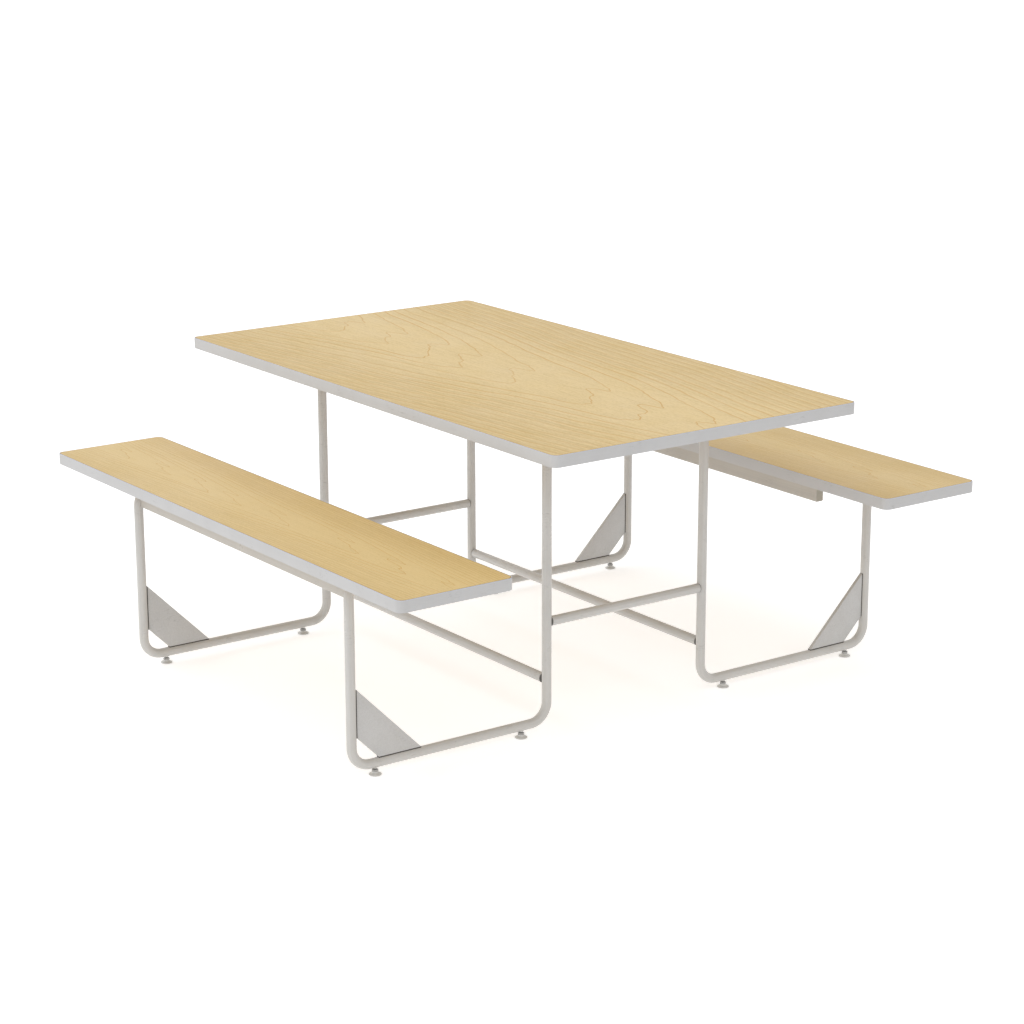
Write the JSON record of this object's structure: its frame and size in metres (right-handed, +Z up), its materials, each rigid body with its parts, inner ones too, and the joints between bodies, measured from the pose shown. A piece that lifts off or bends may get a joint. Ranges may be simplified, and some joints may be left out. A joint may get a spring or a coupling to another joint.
{
  "type": "cafeteria table with attached benches",
  "caption": "Rectangular laminate table with a bench fixed along each side on bent steel tube end frames, tied by stretchers, standing on levelling glides.",
  "frame": {"origin": "floor level under the middle of the table, with the levelling glides at their rest height", "axes": "+X along the table and benches towards the front end frame, +Y across them towards the right bench, +Z up"},
  "size_m": [1.524, 1.614, 0.728],
  "materials": {
    "maple_laminate": "satin maple-pattern laminate sheet",
    "edge_band": "light grey plastic edge band, eased edges",
    "backer_sheet": "plain brown kraft balancing sheet",
    "particle_board": "raw particle board, hidden",
    "frame_paint": "warm light grey powder coat on steel tube",
    "weld": "dark bare weld seam, little paint reaches it",
    "zinc_plate": "zinc plated steel, worn at the rim",
    "black_plastic": "moulded polyethylene plug"
  },
  "bodies": {
    "frame": {"front_arm_sleeve": "frame_paint", "front_cross_stretcher": "frame_paint", "front_left_gusset": "frame_paint", "front_left_leg_tube": "frame_paint", "front_right_gusset": "frame_paint", "front_right_leg_tube": "frame_paint", "glide_bushes": "zinc_plate", "gusset_weld_seams": "weld", "left_long_stretcher": "frame_paint", "left_seat_backer": "backer_sheet", "left_seat_core": "particle_board", "left_seat_edge_band": "edge_band", "left_seat_inner_rail": "frame_paint", "left_seat_laminate": "maple_laminate", "left_seat_outer_rail": "frame_paint", "left_seat_screws": "zinc_plate", "left_seat_tabs": "frame_paint", "left_table_rail": "frame_paint", "rail_end_caps": "frame_paint", "rear_arm_sleeve": "frame_paint", "rear_cross_stretcher": "frame_paint", "rear_left_gusset": "frame_paint", "rear_left_leg_tube": "frame_paint", "rear_right_gusset": "frame_paint", "rear_right_leg_tube": "frame_paint", "right_long_stretcher": "frame_paint", "right_seat_backer": "backer_sheet", "right_seat_core": "particle_board", "right_seat_edge_band": "edge_band", "right_seat_inner_rail": "frame_paint", "right_seat_laminate": "maple_laminate", "right_seat_outer_rail": "frame_paint", "right_seat_screws": "zinc_plate", "right_seat_tabs": "frame_paint", "right_table_rail": "frame_paint", "seat_arm_plugs": "black_plastic", "stretcher_end_welds": "weld", "table_backer": "backer_sheet", "table_core": "particle_board", "table_edge_band": "edge_band", "table_laminate": "maple_laminate", "table_screws": "zinc_plate", "table_tabs": "frame_paint"},
    "front_left_outer_foot": {"front_left_outer_glide_foot": "zinc_plate"},
    "front_left_outer_stem": {"front_left_outer_glide_stem": "zinc_plate"},
    "front_left_inner_foot": {"front_left_inner_glide_foot": "zinc_plate"},
    "front_left_inner_stem": {"front_left_inner_glide_stem": "zinc_plate"},
    "front_right_outer_foot": {"front_right_outer_glide_foot": "zinc_plate"},
    "front_right_outer_stem": {"front_right_outer_glide_stem": "zinc_plate"},
    "front_right_inner_foot": {"front_right_inner_glide_foot": "zinc_plate"},
    "front_right_inner_stem": {"front_right_inner_glide_stem": "zinc_plate"},
    "rear_left_outer_foot": {"rear_left_outer_glide_foot": "zinc_plate"},
    "rear_left_outer_stem": {"rear_left_outer_glide_stem": "zinc_plate"},
    "rear_left_inner_foot": {"rear_left_inner_glide_foot": "zinc_plate"},
    "rear_left_inner_stem": {"rear_left_inner_glide_stem": "zinc_plate"},
    "rear_right_outer_foot": {"rear_right_outer_glide_foot": "zinc_plate"},
    "rear_right_outer_stem": {"rear_right_outer_glide_stem": "zinc_plate"},
    "rear_right_inner_foot": {"rear_right_inner_glide_foot": "zinc_plate"},
    "rear_right_inner_stem": {"rear_right_inner_glide_stem": "zinc_plate"}
  },
  "joints": [
    {"name": "front_left_outer_lift", "type": "slide", "parent": "frame", "child": "front_left_outer_foot", "axis": [0, 0, 1], "range_m": [-0.01, 0.0025]},
    {"name": "front_left_outer_turn", "type": "hinge", "parent": "front_left_outer_foot", "child": "front_left_outer_stem", "pos_m": [0.468, -0.6835, 0], "axis": [0, 0, 1], "range_deg": [-2890, 730]},
    {"name": "front_left_inner_lift", "type": "slide", "parent": "frame", "child": "front_left_inner_foot", "axis": [0, 0, 1], "range_m": [-0.01, 0.0025]},
    {"name": "front_left_inner_turn", "type": "hinge", "parent": "front_left_inner_foot", "child": "front_left_inner_stem", "pos_m": [0.468, -0.295, 0], "axis": [0, 0, 1], "range_deg": [-2890, 730]},
    {"name": "front_right_outer_lift", "type": "slide", "parent": "frame", "child": "front_right_outer_foot", "axis": [0, 0, 1], "range_m": [-0.01, 0.0025]},
    {"name": "front_right_outer_turn", "type": "hinge", "parent": "front_right_outer_foot", "child": "front_right_outer_stem", "pos_m": [0.468, 0.6835, 0], "axis": [0, 0, 1], "range_deg": [-2890, 730]},
    {"name": "front_right_inner_lift", "type": "slide", "parent": "frame", "child": "front_right_inner_foot", "axis": [0, 0, 1], "range_m": [-0.01, 0.0025]},
    {"name": "front_right_inner_turn", "type": "hinge", "parent": "front_right_inner_foot", "child": "front_right_inner_stem", "pos_m": [0.468, 0.295, 0], "axis": [0, 0, 1], "range_deg": [-2890, 730]},
    {"name": "rear_left_outer_lift", "type": "slide", "parent": "frame", "child": "rear_left_outer_foot", "axis": [0, 0, 1], "range_m": [-0.01, 0.0025]},
    {"name": "rear_left_outer_turn", "type": "hinge", "parent": "rear_left_outer_foot", "child": "rear_left_outer_stem", "pos_m": [-0.468, -0.6835, 0], "axis": [0, 0, 1], "range_deg": [-2890, 730]},
    {"name": "rear_left_inner_lift", "type": "slide", "parent": "frame", "child": "rear_left_inner_foot", "axis": [0, 0, 1], "range_m": [-0.01, 0.0025]},
    {"name": "rear_left_inner_turn", "type": "hinge", "parent": "rear_left_inner_foot", "child": "rear_left_inner_stem", "pos_m": [-0.468, -0.295, 0], "axis": [0, 0, 1], "range_deg": [-2890, 730]},
    {"name": "rear_right_outer_lift", "type": "slide", "parent": "frame", "child": "rear_right_outer_foot", "axis": [0, 0, 1], "range_m": [-0.01, 0.0025]},
    {"name": "rear_right_outer_turn", "type": "hinge", "parent": "rear_right_outer_foot", "child": "rear_right_outer_stem", "pos_m": [-0.468, 0.6835, 0], "axis": [0, 0, 1], "range_deg": [-2890, 730]},
    {"name": "rear_right_inner_lift", "type": "slide", "parent": "frame", "child": "rear_right_inner_foot", "axis": [0, 0, 1], "range_m": [-0.01, 0.0025]},
    {"name": "rear_right_inner_turn", "type": "hinge", "parent": "rear_right_inner_foot", "child": "rear_right_inner_stem", "pos_m": [-0.468, 0.295, 0], "axis": [0, 0, 1], "range_deg": [-2890, 730]}
  ],
  "couplings": [
    {"joint": "front_left_outer_turn", "follows": "front_left_outer_lift", "rad_per_m": 5026.5},
    {"joint": "front_left_inner_turn", "follows": "front_left_inner_lift", "rad_per_m": 5026.5},
    {"joint": "front_right_outer_turn", "follows": "front_right_outer_lift", "rad_per_m": 5026.5},
    {"joint": "front_right_inner_turn", "follows": "front_right_inner_lift", "rad_per_m": 5026.5},
    {"joint": "rear_left_outer_turn", "follows": "rear_left_outer_lift", "rad_per_m": 5026.5},
    {"joint": "rear_left_inner_turn", "follows": "rear_left_inner_lift", "rad_per_m": 5026.5},
    {"joint": "rear_right_outer_turn", "follows": "rear_right_outer_lift", "rad_per_m": 5026.5},
    {"joint": "rear_right_inner_turn", "follows": "rear_right_inner_lift", "rad_per_m": 5026.5}
  ]
}
